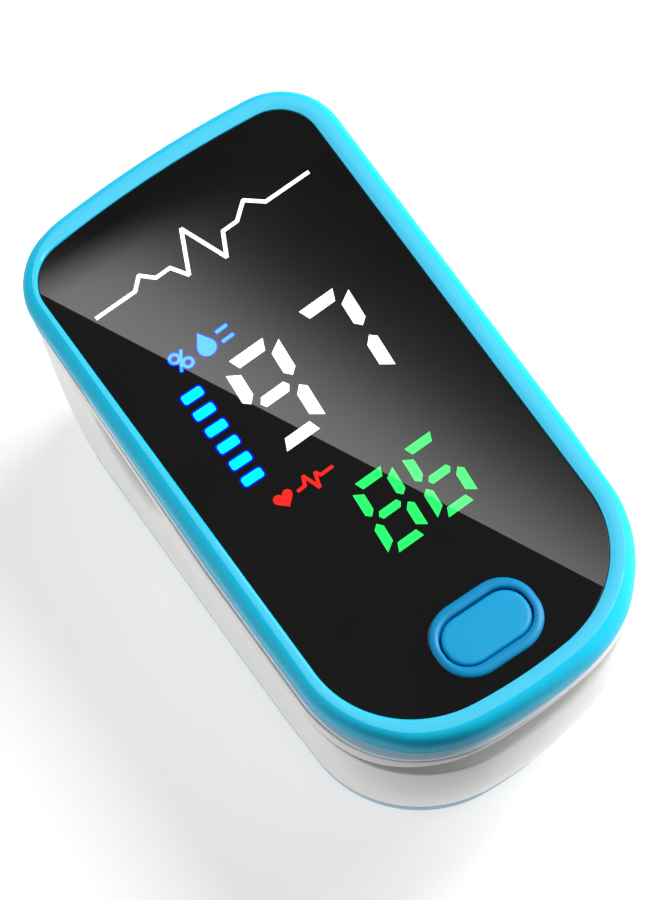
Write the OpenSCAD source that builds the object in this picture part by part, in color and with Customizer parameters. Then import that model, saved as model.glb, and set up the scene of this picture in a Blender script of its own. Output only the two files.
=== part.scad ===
// Fingertip pulse oximeter: two sprung halves on a rear hinge, display and power button on top,
// two AAA cells under a slide-off cover. Millimetres, resting on its flat base at z = 0.
// +Y points to the finger mouth, +Z up through the display.

/* [Case] */
// Length of the display window along Y
window_length = 54; // [53.6:0.2:54.6]
// Width of the display window along X
window_width = 26.1; // [25.9:0.1:26.5]
// Height of the window face above the base
body_height = 28; // [27.8:0.1:28.4]
// Widest reach of the coloured rim beyond the window edge
rim_reach = 2.08; // [1.8:0.04:2.2]
// Reach of the translucent strip under the rim beyond the window edge
trim_reach = 2.4; // [2.28:0.02:2.5]
// Wall thickness of the lower shell
shell_wall = 1.1; // [0.9:0.05:1.15]
// How far the near end of the base is raked in under the hinge end
near_rake = 5.8; // [5.4:0.1:5.9]

/* [Finger channel] */
// Radius of both finger pads' arched faces
pad_radius = 13.2; // [12.6:0.2:14]
// Thickness of the silicone pads
pad_thick = 1.1; // [0.9:0.05:1.15]

/* [Button] */
// Length of the oval surround
surround_length = 9.4; // [8.8:0.1:9.8]
// Width of the oval surround
surround_width = 6.8; // [6.4:0.1:7.2]
// Gap between the cap and its surround
button_gap = 0.16; // [0.1:0.02:0.24]

/* [Display] */
// Height of the two large digits
big_digit = 9.4; // [8.6:0.1:9.8]
// Height of the two small digits
small_digit = 7.05; // [6.4:0.05:7.4]
// Lean of the digits, sideways per unit of height
digit_lean = 0.073; // [0:0.005:0.12]
// Number of bars in the pulse graph
bar_count = 6; // [4:1:6]

/* [Cells] */
// Diameter of an AAA cell
cell_d = 10.5; // [10:0.1:10.5]
// Length of an AAA cell over its button
cell_length = 44.5; // [43.5:0.1:44.5]

/* [Hidden] */
$fn = 40;
W = window_width / 2;
L = window_length / 2;
far_R = 90.8; far_r = 3.77; near_R = 41; near_r = 9.75;
far_y = (L - far_R) + sqrt(pow(far_R - far_r, 2) - pow(W - far_r, 2));
near_y = -(L - near_R) - sqrt(pow(near_R - near_r, 2) - pow(W - near_r, 2));
far_a = atan2(far_y - (L - far_R), W - far_r);
near_a = atan2(-(near_y + (L - near_R)), W - near_r);
top_z = body_height;
pane_z = top_z - 1;
rim_z = top_z - 3;
trim_z = top_z - 3.4;
seam_z = 22;
base_z = 0.9;
seam_gap = 0.15;
door_end = 22;
hinge_y = -19; hinge_z = 19;
lens_up = 1.7; lens_down = 0.4;
seam_b = 2.14; foot_b = 0.76;
lip_b = 0.1; lip_t = 0.7; lip_z = 21.2;
board_z = 22.3; board_t = 1;
tray_z = 12.4; tray_t = 0.6;
frame_z = 21.3; frame_t = 0.8;
pad_low = tray_z + tray_t + pad_thick + pad_radius;
pad_high = frame_z - 0.2 - pad_thick - pad_radius;
pad_a = asin(8 / pad_radius);
pad_y0 = -4; pad_y1 = 26.4;
eye_y = 8;
cell_x = 5.4; cell_z = 6.9; cell_y = -20.1;
btn_y = -22;
ink = 0.15;
big_k = big_digit / 9.4; small_k = small_digit / 9.4;
skew = 0.035;

// ---- outline of the case: four tangent arcs a side, b = offset beyond the window ----
function half_list() = concat(
  [for (i = [0:5]) [90 - (90 - far_a) * i / 5, 0]],
  [for (i = [1:10]) [far_a * (1 - i / 10), 1]],
  [for (i = [0:12]) [-near_a * i / 12, 2]],
  [for (i = [1:4]) [-near_a - (90 - near_a) * i / 4, 3]]);
HL = half_list();
function arc_c(k) = k == 0 ? [0, L - far_R] : k == 1 ? [W - far_r, far_y]
  : k == 2 ? [W - near_r, near_y] : [0, -(L - near_R)];
function arc_r(k) = [far_R, far_r, near_r, near_R][k];
function rim_pt(s, b, dn) = arc_c(s[1]) + [0, s[1] > 1 ? dn : 0]
  + (arc_r(s[1]) + b) * [cos(s[0]), sin(s[0])];
function outline(b, dn = 0) = let (n = len(HL)) concat(
  [for (i = [n - 1:-1:0]) rim_pt(HL[i], b, dn)],
  [for (i = [1:n - 2]) let (p = rim_pt(HL[i], b, dn)) [-p[0], p[1]]]);
function ring(b, z, dn = 0, lens = 0) = [for (p = outline(b, dn))
  [p[0], p[1], z + lens * pow(max(0, hinge_y - p[1]) / 10.2, 2)]];
function drop(z) = (seam_z - z) / seam_z;
function wall_b(z) = seam_b - (seam_b - foot_b) * drop(z);
function rake(z) = near_rake * pow(max(0, drop(z)), 1.7);

// ---- solids made from rings of equal length ----
module loft(rings, loop = false) {
  n = len(rings[0]);
  m = len(rings);
  pts = [for (r = rings) for (p = r) p];
  last = loop ? m - 1 : m - 2;
  sides = [for (i = [0:last]) for (j = [0:n - 1])
    let (a = i * n + j, b = i * n + (j + 1) % n,
      d = ((i + 1) % m) * n + j, c = ((i + 1) % m) * n + (j + 1) % n)
    for (t = [[a, d, c], [a, c, b]]) t];
  caps = loop ? [] : [[for (j = [0:n - 1]) j], [for (j = [n - 1:-1:0]) (m - 1) * n + j]];
  polyhedron(points = pts, faces = concat(sides, caps), convexity = 8);
}
module plate(b, z, t, dn = 0) {
  translate([0, 0, z]) linear_extrude(t) polygon(outline(b, dn));
}
module box(x0, x1, y0, y1, z0, z1) {
  translate([x0, y0, z0]) cube([x1 - x0, y1 - y0, z1 - z0]);
}
module rounded(w, h, r) {
  x = w / 2 - r;
  y = h / 2 - r;
  polygon([for (q = [0:3]) for (i = [0:8]) let (a = 90 * q + 90 * i / 8)
    [(q == 0 || q == 3 ? x : -x) + r * cos(a), (q < 2 ? y : -y) + r * sin(a)]]);
}
module pill(w, h, r, z, t) {
  translate([0, btn_y, z]) linear_extrude(t) rounded(w, h, r);
}
module across(x0, x1, r) {
  translate([x0, hinge_y, hinge_z]) rotate([0, 90, 0]) cylinder(h = x1 - x0, r = r);
}
function unit(v) = v / norm(v);
function wire_rings(path, ref, r, m = 6) = let (n = len(path)) [for (i = [0:n - 1])
  let (t = unit(path[min(i + 1, n - 1)] - path[max(i - 1, 0)]),
    u = unit(cross(t, ref)), v = cross(t, u))
  [for (j = [0:m - 1]) path[i] + r * (cos(360 * j / m) * u + sin(360 * j / m) * v)]];
module mirrored() {
  children();
  mirror([1, 0, 0]) children();
}
module arch(r0, r1, up) {
  // ring sector across the finger channel, in the XZ plane
  c = up ? pad_high : pad_low;
  s = up ? 1 : -1;
  polygon(concat(
    [for (i = [-12:12]) let (a = pad_a * i / 12) [r0 * sin(a), c + s * r0 * cos(a)]],
    [for (i = [12:-1:-12]) let (a = pad_a * i / 12) [r1 * sin(a), c + s * r1 * cos(a)]]));
}
module along(y0, y1) {
  translate([0, y1, 0]) rotate([90, 0, 0]) linear_extrude(y1 - y0) children();
}
module cradle(up) {
  r = pad_radius + pad_thick;
  c = up ? pad_high : pad_low;
  s = up ? 1 : -1;
  flat = up ? frame_z + 0.05 : tray_z + tray_t - 0.05;
  tip = up ? 17.3 : 16.8;
  polygon(concat([[-9.6, flat], [9.6, flat], [9.6, tip], [r * sin(pad_a) + 0.25, tip]],
    [for (i = [12:-1:-12]) let (a = pad_a * i / 12) [r * sin(a), c + s * r * cos(a)]],
    [[-r * sin(pad_a) - 0.25, tip], [-9.6, tip]]));
}

// ---- display marks, thin plates let into the window face ----
// half width 2.6 and half height 4.7 before scaling; strokes a to g
STROKE = [
  [[-1.75, 4.7], [1.55, 4.7], [1.2, 3.65], [-1.3, 3.65]],
  [[2.6, 3.8], [2.6, 1.0], [2.05, 0.5], [1.5, 1.1], [1.5, 3.1]],
  [[2.05, -0.5], [2.6, -1.0], [2.6, -3.95], [1.5, -3.15], [1.5, -1.15]],
  [[-1.6, -4.7], [1.6, -4.7], [1.2, -3.65], [-1.2, -3.65]],
  [[-2.05, -0.5], [-2.6, -1.0], [-2.6, -3.95], [-1.5, -3.15], [-1.5, -1.15]],
  [[-2.6, 3.8], [-2.6, 1.0], [-2.05, 0.5], [-1.5, 1.1], [-1.5, 3.1]],
  [[-1.4, 0], [-1.1, 0.5], [1.1, 0.5], [1.4, 0], [1.1, -0.5], [-1.1, -0.5]]];
NINE = [0, 1, 2, 3, 5, 6];
SEVEN = [0, 1, 2];
EIGHT = [0, 1, 2, 3, 4, 5, 6];
SIX = [0, 2, 3, 4, 5, 6];
module digit(x, y, k, on) {
  for (s = on) polygon([for (p = STROKE[s])
    [x + k * (p[0] + digit_lean * p[1]), y + k * (p[1] + skew * p[0])]]);
}
module big_2d() {
  digit(-2.46, 4.95, big_k, NINE);
  digit(4.44, 5.2, big_k, SEVEN);
}
module small_2d() {
  digit(-0.54, -8.9, small_k, EIGHT);
  digit(4.3, -8.75, small_k, SIX);
}
module bars_2d() {
  for (i = [0:bar_count - 1]) translate([-7.85, 1.77 * i]) rounded(1.82, 0.86, 0.22);
}
module heart_2d() {
  translate([-6.85, -3.2]) polygon([for (i = [0:35]) let (a = 10 * i)
    [0.0535 * 16 * pow(sin(a), 3),
     0.0535 * (13 * cos(a) - 5 * cos(2 * a) - 2 * cos(3 * a) - cos(4 * a)) + 0.1]]);
}
module stroke_2d(pts, w) {
  for (i = [0:len(pts) - 2]) let (a = pts[i], b = pts[i + 1], d = unit(b - a),
    n = [-d[1], d[0]] * w / 2, e = d * w * 0.18)
    polygon([a - e + n, a - e - n, b + e - n, b + e + n]);
}
module beat_2d() {
  stroke_2d([[-5.6, -3.2], [-4.9, -3.15], [-4.55, -2.35], [-4.0, -3.95], [-3.6, -2.65],
    [-3.35, -3.1], [-2.2, -3.05]], 0.3);
}
module percent_2d() {
  translate([-7.3, 12.4]) difference() { circle(0.52, $fn = 24); circle(0.27, $fn = 24); }
  translate([-6.55, 11.5]) difference() { circle(0.52, $fn = 24); circle(0.27, $fn = 24); }
  stroke_2d([[-7.4, 11.15], [-6.45, 12.75]], 0.26);
}
module drop_2d() {
  polygon(concat([[-4.6, 13.2]], [for (i = [0:20]) let (a = 35 - i * 12.5)
    [-4.6 + 0.78 * cos(a), 11.7 + 0.78 * sin(a)]]));
  stroke_2d([[-3.3, 11.35], [-2.3, 11.4]], 0.3);
  stroke_2d([[-3.3, 12.35], [-2.3, 12.4]], 0.3);
}
module trace_2d() {
  stroke_2d([[-10.4, 19.2], [-6.6, 19.3], [-5.6, 20.3], [-4.6, 19.3], [-3.2, 19.35],
    [-2.3, 17.9], [-0.6, 21.7], [1.0, 17.4], [2.0, 19.5], [3.4, 19.55], [4.8, 20.8],
    [6.2, 19.6], [10.4, 19.7]], 0.34);
}
module mark(z = 0) {
  translate([0, 0, top_z - ink + z]) linear_extrude(ink + (z < 0 ? 1 : 0)) children();
}

// ---- upper half ----
module rim_bezel() {
  color("#22C1EA") loft([for (p = [[-0.8, rim_z], [rim_reach - 0.43, rim_z],
    [rim_reach - 0.18, rim_z + 0.7], [rim_reach - 0.03, rim_z + 1.4], [rim_reach, rim_z + 2],
    [rim_reach - 0.12, rim_z + 2.45], [rim_reach - 0.45, rim_z + 2.85],
    [rim_reach - 0.95, rim_z + 3.06], [0.3, rim_z + 3.1], [0.05, rim_z + 3],
    [0.05, rim_z + 1.95], [-0.8, rim_z + 1.95]]) ring(p[0], p[1])], true);
}
module display_window() {
  color("#101010") difference() {
    plate(0, pane_z, 1);
    pill(surround_length + 0.1, surround_width + 0.1, surround_width / 2 - 0.25, pane_z - 1, 3);
    translate([0, 0, top_z - ink]) linear_extrude(1) {
      big_2d();
      small_2d();
      bars_2d();
      heart_2d();
      beat_2d();
      percent_2d();
      drop_2d();
      trace_2d();
    }
  }
}
module top_trace() { color("#FFFFFF") mark() trace_2d(); }
module label_mark() { color("#58B4F0") mark() { percent_2d(); drop_2d(); } }
module oxygen_digits() { color("#FFFFFF") mark() big_2d(); }
module pulse_digits() { color("#32FF6E") mark() small_2d(); }
module bar_graph() { color("#00F0FF") mark() bars_2d(); }
module heart_mark() { color("#EB2D23") mark() { heart_2d(); beat_2d(); } }
module trim_flange() {
  color("#7FA6BC") loft([ring(-0.8, trim_z), ring(trim_reach, trim_z),
    ring(trim_reach - 0.05, rim_z), ring(-0.8, rim_z)], true);
}
module upper_shell() {
  ledge = trim_z - 1.2;
  color("#F4F4F4") difference() {
    union() {
      loft([ring(seam_b, seam_z + seam_gap, 0, lens_up), ring(trim_reach - 0.12, trim_z),
        ring(lip_b - lip_t, trim_z), ring(lip_b - lip_t, lip_z), ring(lip_b, lip_z),
        ring(lip_b, seam_z + seam_gap, 0, lens_up)], true);
      mirrored() for (y = [20, -15.5]) {
        translate([10.2, y, ledge]) cylinder(h = trim_z - ledge, r = 1.7);
        box(10.2, W + 0.2, y - 1, y + 1, ledge, trim_z);
      }
    }
    mirrored() for (y = [20, -15.5])
      translate([10.2, y, ledge - 1]) cylinder(h = trim_z - ledge + 0.8, r = 0.7);
  }
}
module upper_inner_frame() {
  color("#DDE1E4") difference() {
    union() {
      intersection() {
        plate(-1.75, frame_z, frame_t);
        box(-20, 20, -22.6, 26.4, 0, 40);
      }
      along(pad_y0 - 0.6, pad_y1 - 0.9) cradle(true);
      mirrored() {
        across(9.9, 10.8, 1.7);
        box(9.9, 10.8, hinge_y - 1.7, hinge_y + 1.7, hinge_z, frame_z + 0.2);
      }
    }
    mirrored() across(9, 11.5, 0.8);
    mirrored() for (y = [20, -15.5]) {
      translate([10.2, y, 15]) cylinder(h = 12, r = 0.8);
      translate([10.2, y, 15]) cylinder(h = frame_z - 15, r = 1.7);
    }
    box(-2.6, 2.6, eye_y - 2.6, eye_y + 2.6, 15, 25);
    box(-4.2, 4.2, -20.4, -16.6, 15, 25);
  }
}
module upper_finger_pad() {
  color("#8FB4C8") difference() {
    along(pad_y0, pad_y1) arch(pad_radius, pad_radius + pad_thick, true);
    box(-2, 2, eye_y - 2, eye_y + 2, 15, 25);
  }
}
module sensor_lens() {
  color("#A03030") box(-1.95, 1.95, eye_y - 1.95, eye_y + 1.95, frame_z - 1.1, frame_z - 0.6);
}
module photodiode() {
  color("#303438") box(-1.6, 1.6, eye_y - 1.6, eye_y + 1.6, frame_z - 0.3, board_z);
}
module main_board() {
  color("#1E6B3C") difference() {
    plate(-1.5, board_z, board_t);
    mirrored() for (y = [20, -15.5]) translate([10.2, y, 20]) cylinder(h = 5, r = 0.85);
  }
}
module display_module() {
  color("#23262A") box(-9.2, 9.2, -13.2, 14.2, board_z + board_t, pane_z - 0.1);
}
module board_chips() {
  z = board_z + board_t;
  color("#2B2B2E") {
    box(-3.5, 3.5, 16.6, 23.6, z, z + 1.1);
    box(-8, -5, 17.2, 19.6, z, z + 0.8);
    box(5, 7.6, 22, 23.2, z, z + 0.9);
    box(4.6, 7.4, 16.4, 18.2, z, z + 0.7);
    box(-9, -6.4, -18.4, -16.8, z, z + 0.6);
    difference() {
      box(-3.9, 3.9, -20.2, -16.8, board_z - 0.9, board_z);
      box(-3.4, 3.4, -19.4, -17.6, board_z - 2, board_z - 0.2);
    }
  }
}
module tact_switch() {
  z = board_z + board_t;
  color("#B8BCC0") {
    box(-1.8, 1.8, btn_y - 1.8, btn_y + 1.8, z, z + 1.2);
    translate([0, btn_y, z + 1]) cylinder(h = 0.8, r = 0.9);
  }
}
module button_surround() {
  r = surround_width / 2 - 0.3;
  color("#1C96CD") difference() {
    union() {
      pill(surround_length, surround_width, r, pane_z - 0.1, 1.2);
      pill(surround_length - 0.5, surround_width - 0.5, r - 0.25, pane_z + 0.9, 0.4);
    }
    pill(surround_length - 1.4, surround_width - 2, r - 0.85, pane_z - 1, 4);
  }
}
module power_button() {
  r = surround_width / 2 - 0.3 - 0.85 - button_gap;
  color("#1FA8E2") {
    pill(surround_length - 1.4 - 2 * button_gap, surround_width - 2 - 2 * button_gap, r,
      pane_z - 1, 2);
    pill(surround_length - 1.8 - 2 * button_gap, surround_width - 2.4 - 2 * button_gap, r - 0.2,
      pane_z + 0.9, 0.26);
    pill(surround_length - 0.6, surround_width - 1.2, r, pane_z - 1.3, 0.6);
  }
}
module upper_screws() {
  color("#9A9DA0") mirrored() for (y = [20, -15.5]) translate([10.2, y, frame_z - 0.7]) {
    difference() {
      cylinder(h = 0.7, r = 1.4);
      translate([-1, -0.15, -0.1]) cube([2, 0.3, 0.4]);
      translate([-0.15, -1, -0.1]) cube([0.3, 2, 0.4]);
    }
    translate([0, 0, 0.6]) cylinder(h = 2.9, r = 0.62);
  }
}

// ---- lower half ----
module scoop() {
  // shallow thumb-nail groove under the seam: deep at the top, fading out below
  n = 14;
  rings = [for (i = [0:n]) let (t = i / n, y = 3.9 + 11.6 * t,
    low = 22.1 - 0.12 - 3.9 * pow(sin(180 * pow(t, 1.45)), 0.75),
    x = W + wall_b(20) + 0.3)
    [[x - 0.1, y, low], [x - 1.12, y, 22], [x - 1.12, y, 22.6], [x, y, 22.6]]];
  loft(rings);
}
module lower_shell() {
  zs = [0, 3, 6, 9, 12, 15, 18, 20.2];
  floor_z = base_z + 0.55;
  mouth = pad_radius + 0.02;
  color("#F2F2F2") difference() {
    union() {
      difference() {
        loft(concat([for (z = zs) ring(wall_b(z), z, rake(z))], [ring(seam_b, seam_z + 1)]));
        loft(concat([for (z = [floor_z, 4, 9, 15, 20.2]) ring(wall_b(z) - shell_wall, z, rake(z))],
          [ring(seam_b - shell_wall, seam_z + 2)]));
      }
      mirrored() for (y = [22, -6]) intersection() {
        union() {
          translate([12.1, y, 7]) cylinder(h = tray_z - 7, r = 1.1);
          box(12.1, 16, y - 0.9, y + 0.9, 7, tray_z);
        }
        plate(wall_b(8) - 0.4, 0, 30);
      }
    }
    // seam edge, dipping in a shallow curve at the hinge end
    translate([-30, 0, 0]) rotate([90, 0, 90]) linear_extrude(60) polygon(concat(
      [[40, seam_z + 5], [-40, seam_z + 5]],
      [for (i = [16:-1:0]) let (t = i / 14) [hinge_y - 10.2 * t,
        seam_z - seam_gap - lens_down * t * t]],
      [[40, seam_z - seam_gap]]));
    box(-20, 20, -40, door_end + 0.15, -1, base_z);
    box(-10.9, 10.9, -20.7, door_end - 0.6, -1, 5);
    mirrored() for (y = [22, -6]) translate([12.1, y, 8]) cylinder(h = 9, r = 0.5);
    mirrored() scoop();
    along(24, 34) polygon(concat(
      [for (i = [-12:12]) let (a = pad_a * i / 12) [mouth * sin(a), pad_low - mouth * cos(a)]],
      [[8.5, 23.5], [-8.5, 23.5]]));
  }
}
module lower_tray() {
  color("#E4E6E8") difference() {
    union() {
      plate(wall_b(tray_z) - shell_wall - 0.2, tray_z, tray_t, rake(tray_z) + 0.1);
      along(pad_y0 - 0.6, pad_y1) cradle(false);
      mirrored() {
        box(11.1, 12.1, hinge_y - 1.6, hinge_y + 1.6, tray_z + 0.1, hinge_z);
        across(11.1, 12.1, 1.6);
      }
      box(-9.6, 9.6, pad_y0 - 1.6, pad_y0 - 0.5, tray_z + 0.1, 16.8);
    }
    mirrored() across(10.5, 13, 0.76);
    mirrored() for (y = [22, -6]) translate([12.1, y, 8]) cylinder(h = 9, r = 0.6);
    box(-2.6, 2.6, eye_y - 3.2, eye_y + 3.2, 8, 13.3);
    box(-3.2, 3.2, -18.9, -18.1, 10, 14);
  }
}
module lower_finger_pad() {
  color("#8FB4C8") difference() {
    along(pad_y0, pad_y1) arch(pad_radius, pad_radius + pad_thick, false);
    box(-1.7, 1.7, eye_y - 1.7, eye_y + 1.7, 10, 20);
  }
}
module led_emitter() {
  color("#F0E6C8") box(-1.5, 1.5, eye_y - 1.5, eye_y + 1.5, tray_z + 0.4, tray_z + 1.4);
}
module emitter_board() {
  color("#1E6B3C") box(-2.4, 2.4, eye_y - 3, eye_y + 3, tray_z, tray_z + 0.4);
}
module flex_cable() {
  // ribbon under the tray from the emitter, up beside the hinge and into the board socket
  color("#C87A2C") {
    box(-1.6, 1.6, -18.66, eye_y - 2, tray_z - 0.2, tray_z - 0.06);
    box(-1.6, 1.6, -18.66, -18.52, tray_z - 0.2, board_z - 0.5);
    box(-3, 3, -18.66, -18.52, 17, board_z - 0.5);
  }
}
module cell(x, turned) {
  translate([x, cell_y, cell_z]) rotate([-90, 0, 0])
    translate([0, 0, turned ? cell_length : 0]) rotate([turned ? 180 : 0, 0, 0]) {
      cylinder(h = cell_length - 0.9, r = cell_d / 2);
      cylinder(h = cell_length, r = 1.9);
    }
}
module battery_left() { color("#3C7A46") cell(-cell_x, false); }
module battery_right() { color("#3C7A46") cell(cell_x, true); }
module battery_springs() {
  y0 = cell_y + cell_length + 0.02;
  color("#C9CCCE") for (x = [-cell_x, cell_x])
    loft(wire_rings([for (i = [0:48]) let (a = 22.5 * i, r = 2.6 - 1.1 * i / 48)
      [x + r * cos(a), 26.1 - (26.1 - y0 - 0.25) * i / 48, cell_z + r * sin(a)]],
      [0, 1, 0], 0.2));
}
module contact_plates() {
  color("#D8C27A") {
    mirrored() box(2.2, 8.4, cell_y - 0.32, cell_y - 0.02, 3.4, 10.6);
    box(-8.4, 8.4, 26.3, 26.55, 4.2, 10.2);
  }
}
module hinge_pins() {
  color("#A8ABAE") mirrored() across(7.2, 12.1, 0.75);
}
module torsion_springs() {
  r = 1.3;
  color("#B6B9BC") mirrored() loft(wire_rings(concat(
    [[7.7, hinge_y - r, tray_z + tray_t + 0.1], [7.7, hinge_y - r, hinge_z - 1]],
    [for (i = [0:42]) let (a = 180 - 25.714286 * i)
      [7.7 + 1.75 * i / 42, hinge_y + r * cos(a), hinge_z + r * sin(a)]],
    [[9.45, hinge_y - r, hinge_z + 1], [9.45, hinge_y - r, frame_z - 0.02]]),
    [1, 0, 0], 0.24));
}
module lower_screws() {
  color("#9A9DA0") mirrored() for (y = [22, -6]) translate([12.1, y, tray_z + tray_t]) {
    difference() {
      cylinder(h = 0.6, r = 1.05);
      translate([-0.8, -0.12, 0.3]) cube([1.6, 0.24, 0.4]);
      translate([-0.12, -0.8, 0.3]) cube([0.24, 1.6, 0.4]);
    }
    translate([0, 0, -4]) cylinder(h = 4.1, r = 0.48);
  }
}
module battery_door() {
  color("#7FA6BC") difference() {
    union() {
      intersection() {
        plate(foot_b, 0, base_z - 0.04, rake(base_z));
        box(-20, 20, -40, door_end, -1, 5);
      }
      mirrored() box(10.1, 10.8, -17.5, door_end - 2, base_z - 0.2, base_z + 0.5);
      box(-6, 6, -20.4, -19.8, base_z - 0.2, base_z + 0.5);
    }
    for (i = [0:4]) box(-4, 4, -16 + 1.6 * i, -15.2 + 1.6 * i, -1, 0.3);
  }
}

rim_bezel();
display_window();
top_trace();
label_mark();
oxygen_digits();
pulse_digits();
bar_graph();
heart_mark();
trim_flange();
upper_shell();
upper_inner_frame();
upper_finger_pad();
sensor_lens();
photodiode();
main_board();
display_module();
board_chips();
tact_switch();
button_surround();
power_button();
upper_screws();
lower_shell();
lower_tray();
lower_finger_pad();
led_emitter();
emitter_board();
flex_cable();
battery_left();
battery_right();
battery_springs();
contact_plates();
hinge_pins();
torsion_springs();
lower_screws();
battery_door();
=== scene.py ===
import math
import bmesh
import bpy
from mathutils import Vector, Matrix


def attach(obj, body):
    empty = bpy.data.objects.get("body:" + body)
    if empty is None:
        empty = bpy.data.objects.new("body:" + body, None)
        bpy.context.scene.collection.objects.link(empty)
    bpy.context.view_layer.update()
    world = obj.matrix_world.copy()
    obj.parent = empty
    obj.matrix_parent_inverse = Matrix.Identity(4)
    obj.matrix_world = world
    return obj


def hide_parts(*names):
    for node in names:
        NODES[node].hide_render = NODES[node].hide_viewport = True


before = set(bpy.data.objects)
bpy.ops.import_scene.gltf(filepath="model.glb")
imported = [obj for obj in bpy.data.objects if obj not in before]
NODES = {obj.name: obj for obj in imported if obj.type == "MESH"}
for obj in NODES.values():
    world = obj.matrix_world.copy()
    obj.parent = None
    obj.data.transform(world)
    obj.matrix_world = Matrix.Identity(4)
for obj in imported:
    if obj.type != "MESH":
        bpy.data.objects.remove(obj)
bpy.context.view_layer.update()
MM = 0.001

# ------------------------------------------------------------------ case outline, as in part.scad
W, L = 13.05, 27.0
FAR_R, FAR_r, NEAR_R, NEAR_r = 90.8, 3.77, 41.0, 9.75
FAR_Y = (L - FAR_R) + math.sqrt((FAR_R - FAR_r) ** 2 - (W - FAR_r) ** 2)
NEAR_Y = -(L - NEAR_R) - math.sqrt((NEAR_R - NEAR_r) ** 2 - (W - NEAR_r) ** 2)
FAR_A = math.atan2(FAR_Y - (L - FAR_R), W - FAR_r)
NEAR_A = math.atan2(-(NEAR_Y + (L - NEAR_R)), W - NEAR_r)
CENTRES = [(0, L - FAR_R), (W - FAR_r, FAR_Y), (W - NEAR_r, NEAR_Y), (0, -(L - NEAR_R))]
RADII = [FAR_R, FAR_r, NEAR_r, NEAR_R]
TOP, PANE, RIM, TRIM, SEAM, BASE, GAP = 28.0, 27.0, 25.0, 24.6, 22.0, 0.9, 0.15
HINGE_Y, HINGE_Z, BTN_Y, DOOR_END = -19.0, 19.0, -22.0, 22.0
WALL = 1.1
WALL_TOP, WALL_FOOT, RAKE = 2.14, 0.76, 5.8


def half_marks(fine=1.0):
    """Marks (angle, arc, share of the straight side) along the right half, from far end to near."""
    h = math.pi / 2
    n = [max(2, int(k * fine)) for k in (22, 18, 90, 30, 10)]
    out = [(h - (h - FAR_A) * i / n[0], 0, 0) for i in range(n[0] + 1)]
    out += [(FAR_A * (1 - i / n[1]), 1, 0) for i in range(1, n[1] + 1)]
    out += [(0.0, 2, i / n[2]) for i in range(1, n[2])]
    out += [(-NEAR_A * i / n[3], 2, 1) for i in range(n[3] + 1)]
    out += [(-NEAR_A - (h - NEAR_A) * i / n[4], 3, 0) for i in range(1, n[4] + 1)]
    return out


def mark_point(m, b, shift=0.0):
    """The mark's point on the outline grown by b, with the near arcs moved by shift along Y."""
    a, k, t = m
    cx, cy = CENTRES[k]
    if k > 1:
        cy += shift
    if k == 2 and t < 1:
        return W + b, FAR_Y + (cy - FAR_Y) * t
    return cx + (RADII[k] + b) * math.cos(a), cy + (RADII[k] + b) * math.sin(a)


MARKS = half_marks()
MARKS_LOW = half_marks(0.6)


def both_sides(marks):
    """The marks of the whole outline, clockwise from the far end's middle, each with its side."""
    return [(m, 1) for m in marks] + [(m, -1) for m in marks[-2:0:-1]]


def wall_b(z):
    """How far the lower wall stands out from the window's outline at height z."""
    return WALL_TOP - (WALL_TOP - WALL_FOOT) * (SEAM - z) / SEAM


def rake(z):
    """How far the near end is drawn in at height z."""
    return RAKE * max(0.0, (SEAM - z) / SEAM) ** 1.7


def lens(y):
    """Opening of the groove between the halves, which grows from the hinge to the near end."""
    return max(0.0, (HINGE_Y - y) / 10.2) ** 2


def clamp(t):
    """t held between 0 and 1."""
    return min(1.0, max(0.0, t))


def smooth(a, b, x):
    """Smooth step from 0 at a to 1 at b."""
    t = clamp((x - a) / (b - a))
    return t * t * (3 - 2 * t)


FULL = both_sides(MARKS)
OUTLINE = [(mark_point(m, 0.0)[0] * sd, mark_point(m, 0.0)[1]) for m, sd in FULL]


def tuck(x, y, z):
    """How much the body draws in: along the left side, and at the hinge end towards the right."""
    up = clamp(z / SEAM)
    near = smooth(-13, -20, y) * (0.65 * smooth(-8, 9, x) + 0.6 * smooth(-1, 7, x) * (1 - up))
    left = smooth(8, 12, -x)
    far = (0.2 + 0.6 * up * up) * clamp((y + 3) / 27) * left
    low = 0.15 * (1 - up) * smooth(-20, -10, y) * (1 - smooth(24, 27, y))
    return near + far + left * (0.2 * smooth(-24, -18, y) * up - low)


def body_outline(b, z, marks=None):
    """The case outline at height z, grown by b and tucked in."""
    out = []
    for m, sd in both_sides(marks or MARKS):
        x, y = mark_point(m, 0.0)
        q = mark_point(m, b - tuck(sd * x, y, z), rake(z))
        out.append((q[0] * sd, q[1]))
    return out


# ------------------------------------------------------------------ mesh helpers
def make(name, verts, faces, sharp=32, mat=None, body=None):
    """A piece from points in millimetres; edges past sharp degrees stay crisp."""
    me = bpy.data.meshes.new(name)
    me.from_pydata([(x * MM, y * MM, z * MM) for x, y, z in verts], [], faces)
    me.validate()
    me.shade_smooth()
    me.set_sharp_from_angle(angle=math.radians(sharp))
    ob = bpy.data.objects.new(name, me)
    bpy.context.scene.collection.objects.link(ob)
    if mat:
        me.materials.append(mat)
    if body:
        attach(ob, body)
    return ob


def loft(rings, loop=False):
    """Quads between rings of equal length, capped unless the rings close on themselves."""
    n, m = len(rings[0]), len(rings)
    verts = [p for r in rings for p in r]
    faces = []
    for i in range(m if loop else m - 1):
        k = (i + 1) % m
        for j in range(n):
            q = (j + 1) % n
            faces.append((i * n + j, i * n + q, k * n + q, k * n + j))
    if not loop:
        faces += [tuple(range(n - 1, -1, -1)), tuple((m - 1) * n + j for j in range(n))]
    return verts, faces


def merge(*parts):
    """Several (points, faces) pairs as one."""
    verts, faces = [], []
    for v, f in parts:
        o = len(verts)
        verts += v
        faces += [tuple(i + o for i in g) for g in f]
    return verts, faces


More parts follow.
